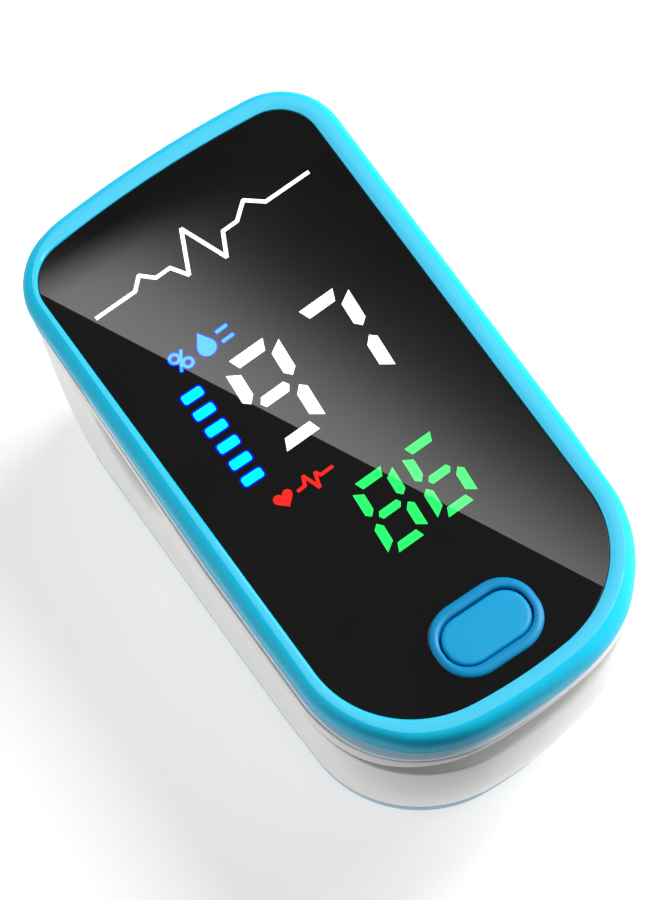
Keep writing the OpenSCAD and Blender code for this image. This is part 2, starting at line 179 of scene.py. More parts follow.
def curve_points(pts, step=4):
    """Catmull-Rom through pts."""
    out = []
    for i in range(len(pts) - 1):
        p0, p1, p2, p3 = pts[max(i - 1, 0)], pts[i], pts[i + 1], pts[min(i + 2, len(pts) - 1)]
        for s in range(step):
            t = s / step
            out.append(tuple(0.5 * (2 * b + (c - a) * t + (2 * a - 5 * b + 4 * c - d) * t * t
                                    + (3 * b - a - 3 * c + d) * t ** 3)
                             for a, b, c, d in zip(p0, p1, p2, p3)))
    return out + [pts[-1]]


def rounded(w, h, r, n=14):
    """A w by h rectangle about the origin with corners of radius r."""
    x, y = w / 2 - r, h / 2 - r
    out = []
    for q, (sx, sy) in enumerate(((1, 1), (-1, 1), (-1, -1), (1, -1))):
        for i in range(n + 1):
            a = math.pi / 2 * (q + i / n)
            out.append((sx * x + r * math.cos(a), sy * y + r * math.sin(a)))
    return out


def box(x0, x1, y0, y1, z0, z1, r=0.0):
    """A block with its four upright edges and its top and bottom edges rounded by r."""
    r = min(r, (x1 - x0) / 2.1, (y1 - y0) / 2.1, (z1 - z0) / 2.1)
    cx, cy = (x0 + x1) / 2, (y0 + y1) / 2
    rings = []
    if r <= 0:
        levels = [(0, z0), (0, z1)]
    else:
        up = [(r * (1 - math.sin(a)), r * (1 - math.cos(a)))
              for a in [math.pi / 2 * i / 4 for i in range(5)]]
        levels = [(d, z0 + u) for d, u in up] + [(d, z1 - u) for d, u in up[::-1]]
    for d, z in levels:
        c = max(r - d, 0.0001) if r > 0 else 0.0001
        rings.append([(cx + x, cy + y, z)
                      for x, y in rounded(x1 - x0 - 2 * d, y1 - y0 - 2 * d, c, 4)])
    return loft(rings)


def lathe(profile, n=64, origin=(0, 0, 0), axis="z"):
    """Solid of revolution of (radius, height) pairs, along axis."""
    rings = []
    for r, h in profile:
        ring = []
        for i in range(n):
            a = 2 * math.pi * i / n
            u, v = r * math.cos(a), r * math.sin(a)
            p = {"z": (u, v, h), "y": (v, h, u)}[axis]
            ring.append(tuple(c + o for c, o in zip(p, origin)))
        rings.append(ring)
    return loft(rings)


def tube(path, r, n=12, ref=(1, 0, 0)):
    """Round wire of radius r along path."""
    rings, ref = [], Vector(ref)
    for i, p in enumerate(path):
        t = (Vector(path[min(i + 1, len(path) - 1)]) - Vector(path[max(i - 1, 0)])).normalized()
        u = t.cross(ref).normalized()
        v = t.cross(u)
        rings.append([tuple(Vector(p) + r * (math.cos(2 * math.pi * j / n) * u
                                             + math.sin(2 * math.pi * j / n) * v))
                      for j in range(n)])
    return loft(rings)


def flat_fill(name, loops, z0, z1, bevel=0.0, mat=None, body=None):
    """A plate from closed 2D loops, holes included, with its edges rounded by bevel."""
    cu = bpy.data.curves.new(name, "CURVE")
    cu.dimensions = "2D"
    cu.fill_mode = "BOTH"
    for loop in loops:
        pts = [p for i, p in enumerate(loop) if math.dist(p, loop[i - 1]) > 0.02]
        sp = cu.splines.new("POLY")
        sp.points.add(len(pts) - 1)
        for q, (x, y) in zip(sp.points, pts):
            q.co = (x * MM, y * MM, 0, 1)
        sp.use_cyclic_u = True
    cu.extrude = max((z1 - z0) / 2 - bevel, 0) * MM
    cu.bevel_depth = bevel * MM
    cu.bevel_resolution = 3
    cu.offset = -bevel * MM
    tmp = bpy.data.objects.new(name + "_c", cu)
    bpy.context.scene.collection.objects.link(tmp)
    bpy.context.view_layer.update()
    me = bpy.data.meshes.new_from_object(tmp.evaluated_get(bpy.context.evaluated_depsgraph_get()))
    bpy.data.objects.remove(tmp)
    me.name = name
    me.transform(Matrix.Translation((0, 0, (z0 + z1) / 2 * MM)))
    me.shade_smooth()
    me.set_sharp_from_angle(angle=math.radians(30))
    ob = bpy.data.objects.new(name, me)
    bpy.context.scene.collection.objects.link(ob)
    me.materials.clear()
    if mat:
        me.materials.append(mat)
    if body:
        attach(ob, body)
    return ob


def clip_y(points, y0=-1e9, y1=1e9):
    """The part of a loop between y0 and y1."""
    for lim, keep in ((y0, 1), (y1, -1)):
        out = []
        for i, p in enumerate(points):
            q = points[(i + 1) % len(points)]
            a, b = (p[1] - lim) * keep >= 0, (q[1] - lim) * keep >= 0
            if a:
                out.append(p)
            if a != b:
                t = (lim - p[1]) / (q[1] - p[1])
                out.append((p[0] + (q[0] - p[0]) * t, lim))
        points = out
    return points


def clip_convex(points, hull):
    """The part of a loop that lies inside a convex clockwise hull."""
    for i, a in enumerate(hull):
        b = hull[(i + 1) % len(hull)]
        out = []
        dist = [(b[0] - a[0]) * (p[1] - a[1]) - (b[1] - a[1]) * (p[0] - a[0]) for p in points]
        for j, p in enumerate(points):
            k = (j + 1) % len(points)
            if dist[j] <= 0:
                out.append(p)
            if (dist[j] <= 0) != (dist[k] <= 0):
                t = dist[j] / (dist[j] - dist[k])
                out.append((p[0] + (points[k][0] - p[0]) * t, p[1] + (points[k][1] - p[1]) * t))
        points = out
    return points


# ------------------------------------------------------------------ materials
def material(name, color, rough=0.4, metal=0.0, tint=0.04, grain=0.0, grain_size=0.25,
             spec=0.5, emit=None, power=0.0, rough_var=0.0, **more):
    """Principled finish with fine colour drift, roughness drift and a moulded or drawn grain."""
    m = bpy.data.materials.new(name)
    m.use_nodes = True
    nt = m.node_tree
    p = nt.nodes["Principled BSDF"]
    pos = nt.nodes.new("ShaderNodeTexCoord")
    drift = nt.nodes.new("ShaderNodeTexNoise")
    drift.inputs["Scale"].default_value = 90.0
    drift.inputs["Detail"].default_value = 3.0
    nt.links.new(pos.outputs["Object"], drift.inputs["Vector"])
    ramp = nt.nodes.new("ShaderNodeValToRGB")
    lo = [c * (1 - tint) for c in color]
    hi = [min(1.0, c * (1 + tint * 0.6)) for c in color]
    ramp.color_ramp.elements[0].position = 0.35
    ramp.color_ramp.elements[1].position = 0.65
    ramp.color_ramp.elements[0].color = (*lo, 1)
    ramp.color_ramp.elements[1].color = (*hi, 1)
    nt.links.new(drift.outputs["Fac"], ramp.inputs["Fac"])
    nt.links.new(ramp.outputs["Color"], p.inputs["Base Color"])
    p.inputs["Roughness"].default_value = rough
    p.inputs["Metallic"].default_value = metal
    p.inputs["Specular IOR Level"].default_value = spec
    fine = nt.nodes.new("ShaderNodeTexNoise")
    fine.inputs["Scale"].default_value = 1000.0 / grain_size
    fine.inputs["Detail"].default_value = 2.0
    nt.links.new(pos.outputs["Object"], fine.inputs["Vector"])
    if rough_var:
        r = nt.nodes.new("ShaderNodeMapRange")
        r.inputs["To Min"].default_value = max(0.0, rough - rough_var)
        r.inputs["To Max"].default_value = rough + rough_var
        nt.links.new(fine.outputs["Fac"], r.inputs["Value"])
        nt.links.new(r.outputs["Result"], p.inputs["Roughness"])
    if grain:
        bump = nt.nodes.new("ShaderNodeBump")
        bump.inputs["Strength"].default_value = grain
        bump.inputs["Distance"].default_value = 0.00002
        nt.links.new(fine.outputs["Fac"], bump.inputs["Height"])
        nt.links.new(bump.outputs["Normal"], p.inputs["Normal"])
    if emit:
        p.inputs["Emission Color"].default_value = (*emit, 1)
        p.inputs["Emission Strength"].default_value = power
    for k, v in more.items():
        p.inputs[k.replace("_", " ")].default_value = v
    return m


def lin(r, g, b):
    """Linear colour of a screen colour given from 0 to 255."""
    return tuple((c / 255 / 12.92) if c / 255 <= 0.04045 else ((c / 255 + 0.055) / 1.055) ** 2.4
                 for c in (r, g, b))


CYAN = material("cyan_gloss", lin(24, 200, 240), 0.46, grain=0.12, grain_size=0.12, rough_var=0.03,
                tint=0.02, spec=0.14)
# painted light: a lighter copy of the rim's cyan for its flat, up-facing land, standing in for the
# light that falls on the top
LAND_PAINTED_LIGHT = material("cyan_land_painted_light", lin(74, 206, 242), 0.3, grain=0.1, grain_size=0.12, rough_var=0.03,
                tint=0.015, spec=0.4)
GLASS = material("window_black", (0.0085, 0.0085, 0.0085), 0.004, spec=0.2, tint=0.1)
WHITE = material("white_abs", lin(238, 238, 236), 0.42, grain=0.15, grain_size=0.12, rough_var=0.05,
                 tint=0.012)
TINT = material("tinted_clear", lin(176, 206, 222), 0.26, tint=0.05, grain=0.08, grain_size=0.2,
                rough_var=0.04, IOR=1.49)
# painted light: the strip glows faintly though it is no lamp, which lightens it where the rim
# shades it
STRIP_PAINTED_GLOW = material("pale_strip_painted_glow", lin(222, 236, 244), 0.3, tint=0.03, grain=0.08, grain_size=0.2,
                 rough_var=0.04, emit=lin(196, 224, 240), power=0.14)
BTN = material("button_blue", lin(8, 160, 215), 0.42, grain=0.15, grain_size=0.1, rough_var=0.05,
               tint=0.02, spec=0.3)
RING = material("surround_blue", lin(8, 142, 198), 0.4, grain=0.15, grain_size=0.1, rough_var=0.05,
                tint=0.02, spec=0.3)
SILICONE = material("silicone_blue", lin(120, 160, 184), 0.62, grain=0.5, grain_size=0.3,
                    rough_var=0.08, tint=0.05, Sheen_Weight=0.25)
FRAME = material("frame_grey", lin(214, 217, 220), 0.55, grain=0.3, grain_size=0.2, rough_var=0.08)
PCB = material("solder_mask", lin(20, 92, 52), 0.35, grain=0.4, grain_size=0.6, tint=0.14,
               rough_var=0.1)
EPOXY = material("black_epoxy", lin(34, 35, 38), 0.5, grain=0.5, grain_size=0.15, rough_var=0.1)
STEEL = material("steel", lin(176, 178, 182), 0.3, 1.0, grain=0.3, grain_size=0.2, rough_var=0.1)
ZINC = material("zinc_plate", lin(196, 198, 202), 0.26, 1.0, grain=0.2, grain_size=0.3,
                rough_var=0.08)
BRASS = material("gold_plate", lin(222, 194, 120), 0.28, 1.0, grain=0.25, grain_size=0.3,
                 rough_var=0.08)
LENS = material("red_lens", lin(150, 34, 34), 0.08, tint=0.08, Transmission_Weight=0.5, IOR=1.5)
LED = material("led_resin", lin(236, 226, 190), 0.15, tint=0.05, Transmission_Weight=0.3)
FILM = material("polyimide", lin(190, 112, 36), 0.25, tint=0.12, grain=0.2, grain_size=0.5)
LIT_WHITE = material("lit_white", (0.8, 0.8, 0.8), 0.004, spec=0.2, emit=(1, 1, 1), power=0.9)
LIT_GREEN = material("lit_green", lin(20, 200, 70), 0.004, spec=0.2, emit=lin(48, 255, 108),
                     power=0.85)
LIT_CYAN = material("lit_cyan", lin(0, 160, 200), 0.004, spec=0.2, emit=lin(0, 255, 255), power=1.0)
LIT_BLUE = material("lit_blue", lin(0, 0, 160), 0.004, spec=0.2, emit=lin(8, 20, 255), power=0.9)
LIT_LABEL = material("lit_label", lin(10, 90, 200), 0.004, spec=0.2, emit=lin(60, 184, 255),
                     power=0.95)
LIT_RED = material("lit_red", lin(180, 20, 14), 0.004, spec=0.2, emit=lin(236, 44, 34), power=0.85)


def jacket(name, color):
    """Cell sleeve: a printed band near the far end, over a satin colour."""
    m = material(name, color, 0.28, 0.35, tint=0.08, grain=0.12, grain_size=0.4, rough_var=0.06)
    nt = m.node_tree
    p = nt.nodes["Principled BSDF"]
    ramp = next(n for n in nt.nodes if n.type == "VALTORGB")
    pos = next(n for n in nt.nodes if n.type == "TEX_COORD")
    sep = nt.nodes.new("ShaderNodeSeparateXYZ")
    nt.links.new(pos.outputs["Object"], sep.inputs[0])
    bands = nt.nodes.new("ShaderNodeValToRGB")
    scale = nt.nodes.new("ShaderNodeMapRange")
    scale.inputs["From Min"].default_value = -0.0201
    scale.inputs["From Max"].default_value = 0.0244
    nt.links.new(sep.outputs["Y"], scale.inputs["Value"])
    nt.links.new(scale.outputs["Result"], bands.inputs["Fac"])
    bands.color_ramp.interpolation = "CONSTANT"
    el = bands.color_ramp.elements
    el[0].color, el[0].position = (0, 0, 0, 1), 0.0
    el[1].color, el[1].position = (1, 1, 1, 1), 0.80
    el.new(0.84).color = (0, 0, 0, 1)
    mix = nt.nodes.new("ShaderNodeMix")
    mix.data_type = "RGBA"
    mix.inputs["B"].default_value = (*lin(206, 208, 204), 1)
    nt.links.new(bands.outputs["Color"], mix.inputs["Factor"])
    nt.links.new(ramp.outputs["Color"], mix.inputs["A"])
    nt.links.new(mix.outputs["Result"], p.inputs["Base Color"])
    return m


CELL = jacket("cell_sleeve", lin(34, 92, 58))


def refinish(node, mat):
    """Give a kept CAD node a material."""
    ob = NODES[node]
    ob.data.materials.clear()
    ob.data.materials.append(mat)
    return ob


# ------------------------------------------------------------------ camera, floor, light
AZ, EL, ROLL = math.radians(16.16), math.radians(64.83), math.radians(-18.79)
AIM_RIGHT, AIM_UP, DISTANCE = -0.354, -2.152, 953.5
right = Vector((math.cos(AZ), -math.sin(AZ), 0))
back = Vector((-math.sin(AZ) * math.cos(EL), -math.cos(AZ) * math.cos(EL), math.sin(EL)))
up = back.cross(right)
cam_right = math.cos(ROLL) * right + math.sin(ROLL) * up
cam_up = -math.sin(ROLL) * right + math.cos(ROLL) * up
aim = Vector((0, 0, TOP)) + AIM_RIGHT * cam_right + AIM_UP * cam_up
eye = (aim + DISTANCE * back) * MM
cam = bpy.data.cameras.new("camera")
cam.sensor_width = 36
cam.lens = 480
cam.clip_end = 50
cam.clip_start = 0.01
cam_ob = bpy.data.objects.new("camera", cam)
cam_ob.matrix_world = Matrix((
    (cam_right.x, cam_up.x, back.x, eye.x), (cam_right.y, cam_up.y, back.y, eye.y),
    (cam_right.z, cam_up.z, back.z, eye.z), (0, 0, 0, 1)))
bpy.context.scene.collection.objects.link(cam_ob)
bpy.context.scene.camera = cam_ob

floor_mat = material("floor_white", (0.62, 0.62, 0.62), 0.7, tint=0.01, spec=0.2, emit=(1, 1, 1),
                     power=0.6)
# seen from below, the floor is clear, so that the underside shows
ft = floor_mat.node_tree
under = ft.nodes.new("ShaderNodeNewGeometry")
clear = ft.nodes.new("ShaderNodeBsdfTransparent")
sides = ft.nodes.new("ShaderNodeMixShader")
ft.links.new(under.outputs["Backfacing"], sides.inputs[0])
ft.links.new(ft.nodes["Principled BSDF"].outputs[0], sides.inputs[1])
ft.links.new(clear.outputs[0], sides.inputs[2])
ft.links.new(sides.outputs[0], ft.nodes["Material Output"].inputs["Surface"])
FLOOR_Z, FLOOR_HALF = -0.04, 6000
floor = make("floor", [(x * FLOOR_HALF, y * FLOOR_HALF, FLOOR_Z)
                       for x, y in ((-1, -1), (1, -1), (1, 1), (-1, 1))],
             [(0, 1, 2, 3)], mat=floor_mat)

world = bpy.data.worlds.new("studio")
bpy.context.scene.world = world
world.use_nodes = True
bg = world.node_tree.nodes["Background"]
bg.inputs["Color"].default_value = (1.0, 1.0, 1.0, 1)
bg.inputs["Strength"].default_value = 0.15
bpy.context.scene.view_settings.view_transform = "Standard"


def softbox(name, where, size, watts, target=(0, 0, 14)):
    """An area light at where, in millimetres, turned to the target; its size is in metres."""
    li = bpy.data.lights.new(name, "AREA")
    li.shape = "RECTANGLE"
    li.size, li.size_y = size
    li.energy = watts
    ob = bpy.data.objects.new(name, li)
    at = Vector(where) * MM
    ob.location = at
    ob.rotation_euler = (at - Vector(target) * MM).to_track_quat("Z", "Y").to_euler()
    bpy.context.scene.collection.objects.link(ob)


softbox("key", (1000, -120, 420), (0.5, 0.8), 6.5)
softbox("high", (700, 60, 1050), (0.5, 0.6), 14.6)
softbox("left_fill", (-1000, 420, 130), (0.6, 0.25), 2.6)
softbox("low_right", (420, -900, 70), (0.4, 0.25), 1.5)

# a black flag holds the floor's light off the near left corner
flag_mat = bpy.data.materials.new("flag")
flag_mat.use_nodes = True
flag_shader = flag_mat.node_tree.nodes["Principled BSDF"]
flag_shader.inputs["Base Color"].default_value = (0.002, 0.002, 0.002, 1)
flag_shader.inputs["Specular IOR Level"].default_value = 0.0
flag = make("flag", [(-60, -38, 0.5), (4, -46, 0.5), (4, -46, 45), (-60, -38, 45)],
            [(0, 1, 2, 3)], mat=flag_mat)
flag.visible_camera = flag.visible_shadow = False

# the bright card whose edge shows as the diagonal gloss on the window
mirror_eye = Vector((eye.x, eye.y, 2 * TOP * MM - eye.z))
CARD_Z = 0.40
CARD_POWER = 60.0
CARD_LENGTH, CARD_WIDTH = 60, 30


def card_point(x, y):
    """Where the card is seen mirrored at the point (x, y) of the window, in metres."""
    p = Vector((x, y, TOP)) * MM
    d = p - mirror_eye
    return p + d * ((CARD_Z - p.z) / d.z)


card_mat = bpy.data.materials.new("card")
card_mat.use_nodes = True
cn = card_mat.node_tree
cn.nodes.clear()
out = cn.nodes.new("ShaderNodeOutputMaterial")
em = cn.nodes.new("ShaderNodeEmission")
glow_in = cn.nodes.new("ShaderNodeAttribute")
glow_in.attribute_name = "glow"
pw = cn.nodes.new("ShaderNodeMath")
pw.operation = "MULTIPLY"
pw.inputs[1].default_value = CARD_POWER
cn.links.new(glow_in.outputs["Fac"], pw.inputs[0])
cn.links.new(pw.outputs[0], em.inputs["Strength"])
cn.links.new(em.outputs[0], out.inputs["Surface"])
NU, NV = 24, 40
SHEEN, SHEEN_MID, SHEEN_FADE, SHEEN_LEAN = 0.181, 3.1, 2.6, 0.33


def falloff(s):
    """Card brightness at s across the window, as the light it should add there."""
    return SHEEN / (1 + math.exp((s - SHEEN_MID) / SHEEN_FADE))


cv, cf, glow = [], [], []
for j in range(NV + 1):
    y = CARD_LENGTH / 2 - CARD_LENGTH * j / NV
    edge = -12.7 + (23.4 - y) * 22.5 / 48.9  # the gloss's diagonal border on the window
    for i in range(NU + 1):
        x = edge + CARD_WIDTH * i / NU
        cv.append(tuple(card_point(x, y) * 1000))
        far_fade = smooth(21.7, 26.0, y + 0.12 * (x + 8))
        glow.append(falloff(x + SHEEN_LEAN * y) * (1 - far_fade))
for j in range(NV):
    for i in range(NU):
        a = j * (NU + 1) + i
        cf.append((a, a + 1, a + NU + 2, a + NU + 1))
card = make("gloss_card", cv, cf, mat=card_mat)
at = card.data.attributes.new("glow", "FLOAT", "POINT")
at.data.foreach_set("value", glow)
card.visible_camera = card.visible_diffuse = card.visible_shadow = False


# ------------------------------------------------------------------ upper half
def ring(b, z, up_lens=0.0):
    """A ring of the upper skirt, lifted round the near end by up_lens."""
    return [(x, y, z + up_lens * lens(y)) for x, y in body_outline(b, max(z, SEAM))][::-1]


rim_profile = ([(-0.75, RIM + 0.02), (1.56, RIM + 0.02)]
               + curve_points([(1.66, 25.05), (1.82, 25.2), (1.96, 25.55), (2.05, 26.05),
                               (2.08, 26.55), (2.05, 27.0), (1.95, 27.4), (1.78, 27.72),
                               (1.55, 27.95), (1.28, 28.09)], 4)
               + [(1.22, 28.1), (0.8, 28.1), (0.48, 28.1), (0.42, 28.085), (0.2, 28.055),
                  (0.1, 28.03), (0.05, 27.97), (0.03, 27.85), (0.03, 27.0), (-0.75, 27.0)])
EDGE_B, OUT_B = 1.28, 2.08


def rim_point(b, z, x, y):
    """Growth of the rim at (x, y): the land is narrower along the left side, and the outer edge
    draws in there and at the near corners."""
    w = smooth(8, 13.4, -x)
    crease = EDGE_B - (0.61 + 0.011 * y) * w
    corner = smooth(-10, -18, y) * smooth(8.5, 11, abs(x))
    out = OUT_B - max(0.0, 0.42 + 0.0125 * y) * w - 0.18 * corner
    if b <= 0:
        return b
    if b <= EDGE_B and z > PANE:
        return 0.03 + (b - 0.03) * (crease - 0.03) / (EDGE_B - 0.03)
    return crease + (b - EDGE_B) * (out - crease) / (OUT_B - EDGE_B)


def grown_ring(z, reach):
    """A ring at height z, grown from the window's outline by reach(x, y)."""
    pts = []
    for (m, sd), (x, y) in zip(FULL, OUTLINE):
        q = mark_point(m, reach(x, y))
        pts.append((q[0] * sd, q[1], z))
    return pts[::-1]


def rim_ring(b, z):
    return grown_ring(z, lambda x, y: rim_point(b, z, x, y))


rim = make("rim", *loft([rim_ring(b, z) for b, z in rim_profile], True), sharp=20, mat=CYAN,
           body="upper")
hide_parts("rim_bezel")
# painted light: the rim's flat faces on top that face up take the lighter cyan
rim.data.materials.append(LAND_PAINTED_LIGHT)
for face in rim.data.polygons:
    if face.normal.z > 0.97 and face.center.z > 28.0 * MM:
        face.material_index = 1

hole = [(x, y + BTN_Y) for x, y in rounded(9.46, 6.86, 3.15)]
pane = flat_fill("window", [OUTLINE, hole], PANE, TOP - 0.012, 0.04, GLASS, "upper")
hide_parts("display_window")

TRIM_INNER = -0.75
trim_profile = [(TRIM_INNER, TRIM + 0.01), (-0.12, TRIM + 0.01), (-0.04, TRIM + 0.04),
                (0.0, TRIM + 0.12), (0.0, RIM - 0.14), (-0.04, RIM - 0.05), (-0.12, RIM - 0.01),
                (TRIM_INNER, RIM - 0.01)]


def trim_reach(x, y):
    """How far the strip stands out: most at the hinge end's left, least at the far left corner."""
    side = 2.0 - 0.1 * smooth(9, 13, x) - 0.2 * smooth(15, 26, y)
    near = 0.25 * smooth(-18, -25, y) * (1 - smooth(4, 12, x))
    far_left = 0.35 * smooth(13, 23, y) * smooth(5, 12, -x)
    return side + near - 0.8 * tuck(x, y, SEAM) - far_left


def trim_ring(d, z):
    return grown_ring(z, lambda x, y: d if d == TRIM_INNER else trim_reach(x, y) + d)


# the strip carries the faint painted glow
trim = make("trim_strip", *loft([trim_ring(d, z) for d, z in trim_profile], True), sharp=50,
            mat=STRIP_PAINTED_GLOW, body="upper")
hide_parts("trim_flange")

LU = 1.7  # how far the groove opens at the near end
skirt_profile = [(-0.6, 21.2, 0), (-0.5, 21.12, 0), (0.0, 21.12, 0), (0.1, 21.2, 0),
                 (0.1, SEAM + GAP + 0.02, LU), (1.2, SEAM + GAP, LU), (1.95, SEAM + GAP, LU),
                 (2.06, SEAM + GAP + 0.03, LU), (2.13, SEAM + GAP + 0.1, LU),
                 (2.155, SEAM + GAP + 0.22, LU), (2.18, 22.75, LU * 0.75), (2.21, 23.2, LU * 0.5),
                 (2.24, 23.8, LU * 0.25), (2.26, 24.25, 0.1), (2.24, 24.5, 0), (2.18, 24.57, 0),
                 (2.05, 24.6, 0), (-0.6, 24.6, 0)]
skirt = make("upper_skirt", *loft([ring(b, z, u) for b, z, u in skirt_profile], True), sharp=40,
             mat=WHITE, body="upper")
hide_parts("upper_shell")


def oval(levels, n=18):
    """Rings of an oval about the button's centre from (width, length, corner radius, z) levels."""
    return [[(x, y + BTN_Y, z) for x, y in rounded(w, h, r, n)] for w, h, r, z in levels]


ring_levels = [(9.4, 6.8, 3.1, 26.95), (9.4, 6.8, 3.1, 28.02), (9.34, 6.74, 3.07, 28.1),
               (9.2, 6.6, 3.0, 28.17), (8.95, 6.35, 2.88, 28.235), (8.7, 6.1, 2.75, 28.265),
               (8.45, 5.6, 2.5, 28.28), (8.2, 5.05, 2.36, 28.25), (8.06, 4.86, 2.28, 28.18),
               (8.0, 4.8, 2.25, 28.08), (8.0, 4.8, 2.25, 26.95)]
surround = make("button_ring", *loft(oval(ring_levels), True), sharp=42, mat=RING, body="upper")
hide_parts("button_surround")

cap_levels = [(8.6, 5.4, 2.4, 25.75), (8.75, 5.55, 2.45, 25.85), (8.75, 5.55, 2.45, 26.2),
              (8.6, 5.4, 2.4, 26.28), (7.68, 4.48, 2.1, 26.3), (7.68, 4.48, 2.1, 27.86),
              (7.66, 4.46, 2.09, 27.96), (7.58, 4.38, 2.06, 28.05), (7.44, 4.24, 2.0, 28.12),
              (7.24, 4.04, 1.92, 28.155), (6.9, 3.7, 1.8, 28.165), (5.0, 2.2, 1.05, 28.165),
              (3.0, 0.6, 0.25, 28.165)]
cap = make("button_cap", *loft(oval(cap_levels)), sharp=42, mat=BTN, body="button")
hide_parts("power_button")

for node, mat in {"top_trace": LIT_WHITE, "label_mark": LIT_LABEL, "oxygen_digits": LIT_WHITE,
                  "pulse_digits": LIT_GREEN, "bar_graph": LIT_CYAN, "heart_mark": LIT_RED}.items():
    refinish(node, mat)

# blue halo round each bar of the graph
BARS, BAR_X, BAR_STEP = 6, -7.85, 1.77
halo = merge(*[loft([[(x + BAR_X, y + BAR_STEP * i, z) for x, y in rounded(2.12, 1.16, 0.36, 6)]
                     for z in (27.9, 27.994)]) for i in range(BARS)])
halo = make("bar_halo", *halo, mat=LIT_BLUE, body="upper")

# dark blue edge round the strokes of the label: their mesh copied, grown sideways and sunk a little
EDGE_OUT, EDGE_SINK = 0.1, 0.006
strokes = NODES["label_mark"]
edge_mesh = bmesh.new()
edge_mesh.from_mesh(strokes.data)
bmesh.ops.remove_doubles(edge_mesh, verts=edge_mesh.verts, dist=1e-7)
edge_mesh.normal_update()
sideways = {}
for v in edge_mesh.verts:
    walls = [f.normal.copy() for f in v.link_faces if abs(f.normal.z) < 0.5]
    away = sum(walls, Vector((0, 0, 0)))
    sideways[v] = away.normalized() if away.length > 1e-6 else Vector((0, 0, 0))
top_z = max(v.co.z for v in edge_mesh.verts)
for v in edge_mesh.verts:
    sink = EDGE_SINK if v.co.z > top_z - 1e-5 else 0.0
    v.co = v.co + sideways[v] * EDGE_OUT * MM - Vector((0, 0, sink * MM))
label_mesh = bpy.data.meshes.new("label_halo")
edge_mesh.to_mesh(label_mesh)
edge_mesh.free()
label_mesh.materials.clear()
label_mesh.materials.append(LIT_BLUE)
label_halo = bpy.data.objects.new("label_halo", label_mesh)
bpy.context.scene.collection.objects.link(label_halo)
label_halo.matrix_world = strokes.matrix_world.copy()
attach(label_halo, "upper")

# ------------------------------------------------------------------ lower half
SCOOP0, SCOOP1 = 3.9, 15.5
SCOOP_HEIGHT, SCOOP_DEPTH = 10.0, 0.95
ARCH_Z, ARCH_R = 27.3, 13.22


def scoop(x, y, z):
    """How far the scoop on each side cuts into the wall."""
    if not SCOOP0 < y < SCOOP1 or abs(x) < W:
        return 0.0
    t = (y - SCOOP0) / (SCOOP1 - SCOOP0)
    height = SCOOP_HEIGHT * math.sin(math.pi * t ** 1.45) ** 0.75
    low = SEAM - height
    if z <= low or height < 0.05:
        return 0.0
    return min(SCOOP_DEPTH, 0.3 * height) * ((z - low) / (SEAM - low)) ** 0.85


def top_edge(x, y):
    """Height of the lower wall's top edge: the seam, cut down to the finger's arch at the mouth."""
    z = SEAM - GAP - 0.4 * lens(y)
    if y > 24:
        arch = ARCH_Z - math.sqrt(max(ARCH_R ** 2 - min(abs(x), 8.0) ** 2, 0))
        z = arch + (z - arch) * smooth(7.85, 8.5, abs(x))
    return z


def shell_wall():
    """The lower case's wall: up the outside, over the top edge and down the inside."""
    tops = [top_edge(x, y) for x, y in body_outline(2.1, SEAM)]

    def row(height, inset, cut=True):
        out = []
        for (m, sd), (x0, y0), top in zip(FULL, OUTLINE, tops):
            z = height(top)
            x, y = mark_point(m, wall_b(z) - inset - tuck(x0, y0, z), rake(z))
            x *= sd
            if cut:
                x -= sd * scoop(x, y, z)
            out.append((x, y, z))
        return out[::-1]

    levels = [0.0, 0.1, 0.2, 0.3, 0.4] + [0.5 + 0.025 * i for i in range(20)]
    rings = [row(lambda t: BASE, WALL, False), row(lambda t: BASE, 0.12),
             row(lambda t: BASE + 0.04, 0.03)]
    rings += [row(lambda t, s=s: BASE + 0.12 + (t - BASE - 0.32) * s, 0) for s in levels]
    rings += [row(lambda t, u=u: t - u, d)
              for d, u in ((0.0, 0.2), (0.03, 0.1), (0.1, 0.04), (0.2, 0.02), (0.9, 0.02),
                           (1.04, 0.05), (1.1, 0.12))]
    rings += [row(lambda t, s=s: BASE + (t - BASE) * s, WALL, False)
              for s in (0.97, 0.9, 0.8, 0.6, 0.4, 0.2)]
    return loft(rings, True)


# the scoops are coloured darker towards the strip, as the photo shows them shaded
SHADE_FULL_DEPTH = 0.5
SCOOP_PAINTED_SHADE = material("white_scoop_painted_shade", lin(238, 238, 236), 0.42, grain=0.15, grain_size=0.12,
                   rough_var=0.05, tint=0.012)
sn = SCOOP_PAINTED_SHADE.node_tree
surface = sn.nodes["Principled BSDF"].inputs["Base Color"]
shade = sn.nodes.new("ShaderNodeMix")
shade.data_type = "RGBA"
shade_in = sn.nodes.new("ShaderNodeAttribute")
shade_in.attribute_name = "scoop_shade"
# the mix node's colour sockets: factor 0, colours 6 and 7, result 2
sn.links.new(shade_in.outputs["Fac"], shade.inputs[0])
sn.links.new(surface.links[0].from_socket, shade.inputs[6])
# painted shade: the wall's colour at its darkest, close under the strip
shade.inputs[7].default_value = (0.35, 0.345, 0.34, 1)
sn.links.new(shade.outputs[2], surface)
wall = make("lower_case", *shell_wall(), sharp=38, mat=SCOOP_PAINTED_SHADE, body="lower")
# painted shade: each point's darkening, from 0 at the scoop's lower edge to 1 where the scoop cuts
# 0.5 mm deep
scoop_shade = wall.data.attributes.new("scoop_shade", "FLOAT", "POINT")
scoop_shade.data.foreach_set("value", [
    min(1.0, scoop(v.co.x / MM, v.co.y / MM, v.co.z / MM) / SHADE_FULL_DEPTH) ** 1.4
    for v in wall.data.vertices])
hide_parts("lower_shell")

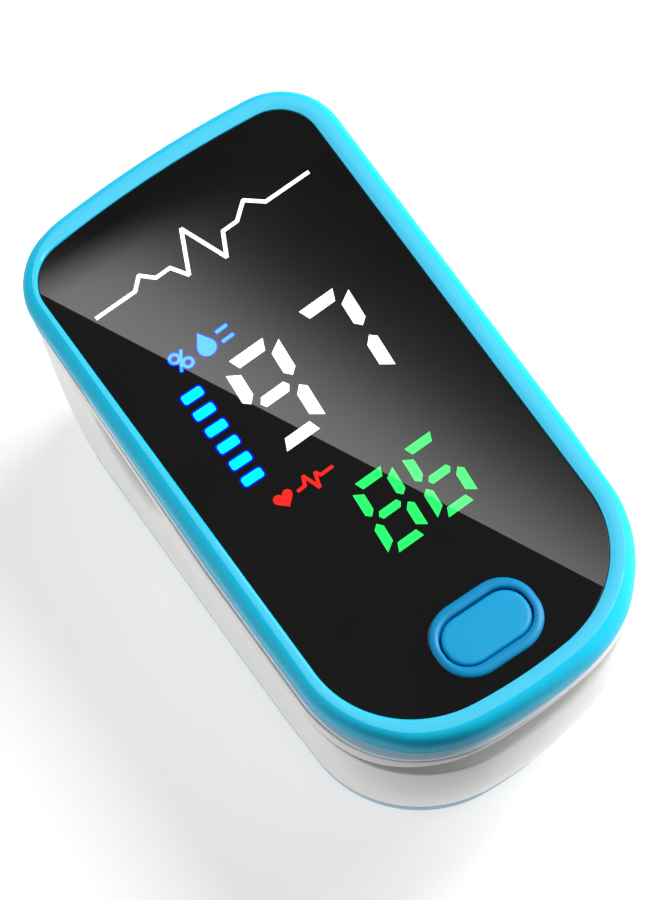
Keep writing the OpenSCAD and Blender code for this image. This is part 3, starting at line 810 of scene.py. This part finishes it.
bay = clip_convex([(x, y + 0.35) for x, y in rounded(21.8, 42.1, 0.8, 6)],
                  body_outline(-0.7, 1, MARKS_LOW))
sill = flat_fill("bay_sill", [body_outline(wall_b(1) - 0.5, 1, MARKS_LOW), bay], BASE + 0.03,
                 BASE + 0.55, 0.05, WHITE, "lower")
foot = flat_fill("far_foot", [clip_y(body_outline(WALL_FOOT, BASE, MARKS_LOW), DOOR_END + 0.15)],
                 0.0, BASE + 0.1, 0.08, WHITE, "lower")
bosses = merge(*[lathe([(0.5, 7.0), (0.9, 7.0), (1.1, 7.2), (1.1, 12.28), (1.0, 12.38),
                        (0.5, 12.38)], 32, (s * 12.1, y, 0)) for s in (-1, 1) for y in (22, -6)])
bosses = make("screw_bosses", *bosses, mat=WHITE, body="lower")

# battery cover: plate, guide rails and nose catch
door_plate = flat_fill("door_plate", [clip_y(body_outline(0.8, BASE), y1=DOOR_END)],
                       0.0, BASE - 0.04, 0.1, TINT, "door")
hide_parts("battery_door")
RAIL_X, RAIL_HALF = 10.45, 0.35
rails = merge(*[box(s * RAIL_X - RAIL_HALF, s * RAIL_X + RAIL_HALF, -15.5, 20,
                    BASE - 0.1, BASE + 0.5, 0.12) for s in (-1, 1)],
              box(-6, 6, -20.4, -19.8, BASE - 0.1, BASE + 0.5, 0.12))
rails = make("door_rails", *rails, mat=TINT, body="door")


# ------------------------------------------------------------------ finger pads
def finger_pad(name, centre, sign, body, node, eye_half):
    """Arched silicone pad: raised lips along both sides, shallow cross ribs, a square eye."""
    R, T = 13.2, 1.1
    eye_y = 8
    pa = math.asin(8 / R)
    na, ny = 40, 64
    y0, y1 = -4.0, 26.4

    def point(i, j, under):
        u, v = i / na * 2 - 1, j / ny
        a = pa * u
        y = y0 + (y1 - y0) * v
        rib = max(0.0, math.cos(2 * math.pi * (y - y0) / 3.8)) ** 4
        r = R + 0.10 * rib * (1 - smooth(0.7, 0.9, abs(u)))
        r += 0.35 * (1 - smooth(0.0, 0.05, 1 - abs(u)))
        r += 0.4 * (1 - smooth(0.0, 0.015, min(v, 1 - v)))
        if under:
            r = R + T
        return (r * math.sin(a), y, centre - sign * r * math.cos(a))

    verts, faces = [], []
    idx = {}
    for under in (0, 1):
        for j in range(ny + 1):
            for i in range(na + 1):
                idx[under, i, j] = len(verts)
                verts.append(point(i, j, under))
    hole_cells = set()
    for j in range(ny):
        for i in range(na):
            a = pa * ((i + 0.5) / na * 2 - 1)
            y = y0 + (y1 - y0) * (j + 0.5) / ny
            if abs(R * math.sin(a)) < eye_half and abs(y - eye_y) < eye_half:
                hole_cells.add((i, j))

    def quad(a, b, c, d, flip):
        faces.append((d, c, b, a) if flip else (a, b, c, d))

    flip = sign < 0
    for j in range(ny):
        for i in range(na):
            if (i, j) in hole_cells:
                continue
            q = [idx[0, i, j], idx[0, i + 1, j], idx[0, i + 1, j + 1], idx[0, i, j + 1]]
            quad(*q, flip)
            q = [idx[1, i, j], idx[1, i + 1, j], idx[1, i + 1, j + 1], idx[1, i, j + 1]]
            quad(*q, not flip)
            for di, dj, e in ((-1, 0, ((i, j), (i, j + 1))), (1, 0, ((i + 1, j + 1), (i + 1, j))),
                              (0, -1, ((i + 1, j), (i, j))), (0, 1, ((i, j + 1), (i + 1, j + 1)))):
                ni, nj = i + di, j + dj
                if not (0 <= ni < na and 0 <= nj < ny) or (ni, nj) in hole_cells:
                    (ai, aj), (bi, bj) = e
                    quad(idx[0, ai, aj], idx[0, bi, bj], idx[1, bi, bj], idx[1, ai, aj], flip)
    ob = make(name, verts, faces, sharp=50, mat=SILICONE, body=body)
    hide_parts(node)


finger_pad("pad_lower", ARCH_Z, 1, "lower", "lower_finger_pad", 1.75)
finger_pad("pad_upper", 6.8, -1, "upper", "upper_finger_pad", 2.05)


# ------------------------------------------------------------------ cells, springs
CELL_X, CELL_Y, CELL_Z = 5.4, -20.1, 6.9
CAP_R = 4.95


def cell(name, x, turned, node):
    """An AAA cell along Y, sleeved, with bare metal inside CAP_R at both ends."""
    l, r = 44.5, 5.25
    prof = [(0.01, 0.25), (3.0, 0.25), (3.4, 0.18), (3.9, 0.02), (4.6, 0.0), (5.0, 0.05),
            (5.2, 0.2), (r, 0.5), (r, l - 1.7), (5.2, l - 1.35), (5.0, l - 1.15), (4.7, l - 1.08),
            (4.3, l - 1.1), (4.1, l - 1.25), (2.6, l - 1.25), (2.3, l - 1.1), (2.1, l - 0.8),
            (1.9, l - 0.75), (1.9, l - 0.15), (1.78, l - 0.03), (1.6, l), (0.01, l)]
    prof = [(a, (l - h) if turned else h) for a, h in prof]
    if turned:
        prof = prof[::-1]
    ob = make(name, *lathe(prof, 72, (x, CELL_Y, CELL_Z), "y"), sharp=40, mat=CELL, body="lower")
    ob.data.materials.append(ZINC)
    for p in ob.data.polygons:
        if math.hypot(p.center.x - x * MM, p.center.z - CELL_Z * MM) < CAP_R * MM:
            p.material_index = 1
    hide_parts(node)


cell("cell_left", -CELL_X, False, "battery_left")
cell("cell_right", CELL_X, True, "battery_right")

COIL_Y0, COIL_Y1, COIL_STEPS = 26.1, 24.42, 144
coils = []
for cx in (-CELL_X, CELL_X):
    path = []
    for i in range(COIL_STEPS + 1):
        a, t = math.radians(7.5 * i), i / COIL_STEPS
        r = 2.6 - 1.1 * t
        path.append((cx + r * math.cos(a), COIL_Y0 - (COIL_Y0 - COIL_Y1 - 0.25) * t,
                     CELL_Z + r * math.sin(a)))
    coils.append(tube(path, 0.2, 12, (0, 1, 0)))
coils = make("cell_springs", *merge(*coils), mat=STEEL, body="lower", sharp=60)
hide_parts("battery_springs")

# torsion springs: three turns about the hinge between two upright legs
LEG_IN, LEG_OUT, TURN_R, TURN_STEPS = 7.7, 9.45, 1.3, 126
leg_y = HINGE_Y - TURN_R
path = [(LEG_IN, leg_y, z) for z in (13.1, 15, 18)]
for i in range(TURN_STEPS + 1):
    a = math.pi - math.radians(25.714286) * i / 3
    path.append((LEG_IN + 1.75 * i / TURN_STEPS, HINGE_Y + TURN_R * math.cos(a),
                 HINGE_Z + TURN_R * math.sin(a)))
path += [(LEG_OUT, leg_y, z) for z in (20, 21.1)]
legs = [tube([(s * x, y, z) for x, y, z in path], 0.24, 12, (1, 0, 0)) for s in (-1, 1)]
legs = make("hinge_springs", *merge(*legs), mat=STEEL, body="lower", sharp=60)
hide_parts("torsion_springs")

# ------------------------------------------------------------------ finishes of the kept CAD nodes
FINISH = {
    "upper_inner_frame": FRAME, "lower_tray": FRAME, "main_board": PCB, "emitter_board": PCB,
    "display_module": EPOXY, "board_chips": EPOXY, "photodiode": EPOXY, "tact_switch": ZINC,
    "sensor_lens": LENS, "led_emitter": LED, "flex_cable": FILM, "contact_plates": BRASS,
    "hinge_pins": STEEL, "upper_screws": ZINC, "lower_screws": ZINC,
}
for node, mat in FINISH.items():
    bev = refinish(node, mat).modifiers.new("edge", "BEVEL")
    bev.width = 0.00004
    bev.segments = 2
    bev.limit_method = "ANGLE"
    bev.angle_limit = math.radians(40)
